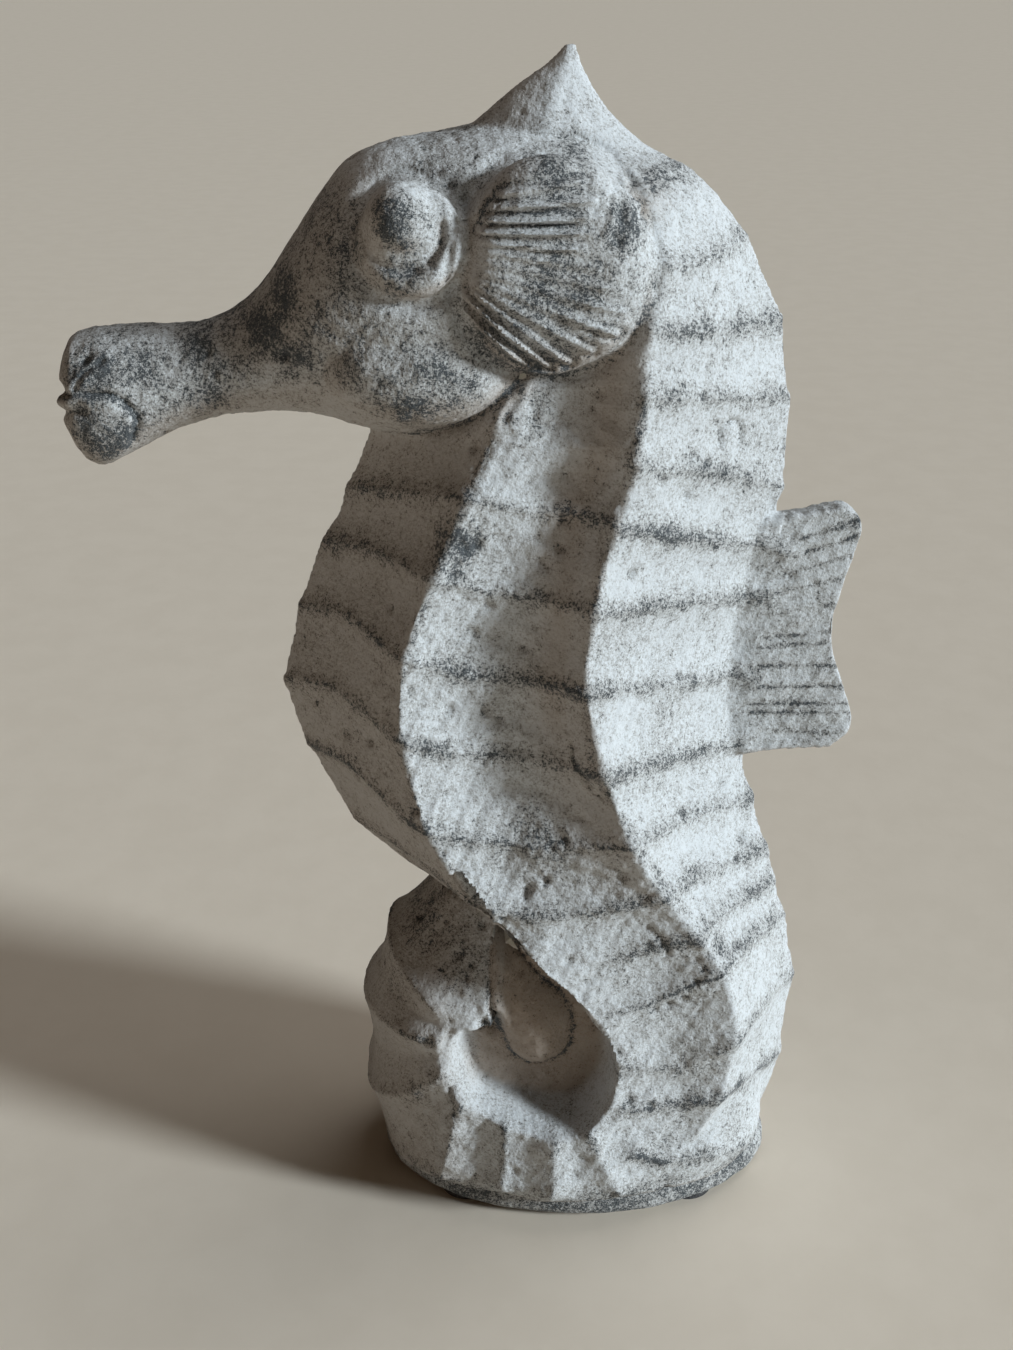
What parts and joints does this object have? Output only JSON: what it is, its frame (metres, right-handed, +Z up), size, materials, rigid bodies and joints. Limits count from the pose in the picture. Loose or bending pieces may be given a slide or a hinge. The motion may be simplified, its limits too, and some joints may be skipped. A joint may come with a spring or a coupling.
{
  "type": "seahorse garden figure",
  "caption": "Hollow stone-look seahorse figure cast as two half shells on a flat oval foot, with a ribbed back fin and a filling hole with a bung underneath.",
  "frame": {"origin": "centre of the figure's box on the surface it stands on", "axes": "+Z up to the crest, -X to the tip of the snout, +X to the back fin, middle plane of the two half shells at Y = 0"},
  "size_m": [0.215, 0.08, 0.33],
  "materials": {
    "cast_stone": "matt, limewashed pale grey over charcoal, rough sandy face",
    "cast_stone_fin": "matt, limewashed grey with dark speckle between the rays",
    "cast_stone_base": "matt, limewashed grey with a dark lower edge",
    "mortar": "matt, grey cement",
    "glass_fibre": "resin-wetted mat",
    "galvanised_wire": "zinc grey",
    "sand": "loose dry sand",
    "bung_rubber": "matt black",
    "felt": "pressed felt"
  },
  "bodies": {
    "figure": {"shell_left": "cast_stone", "shell_right": "cast_stone", "dorsal_fin": "cast_stone_fin", "base_plate": "cast_stone_base", "seam_mortar": "mortar", "base_mortar": "mortar", "fin_mortar": "mortar", "fibre_lining_left": "glass_fibre", "fibre_lining_right": "glass_fibre", "fin_pins": "galvanised_wire", "snout_rod": "galvanised_wire", "ballast_sand": "sand", "floor_pads": "felt"},
    "bung": {"filler_bung": "bung_rubber"}
  },
  "joints": [
    {"name": "bung_pull", "type": "slide", "parent": "figure", "child": "bung", "axis": [0, 0, -1], "range_m": [0, 0.02]}
  ]
}
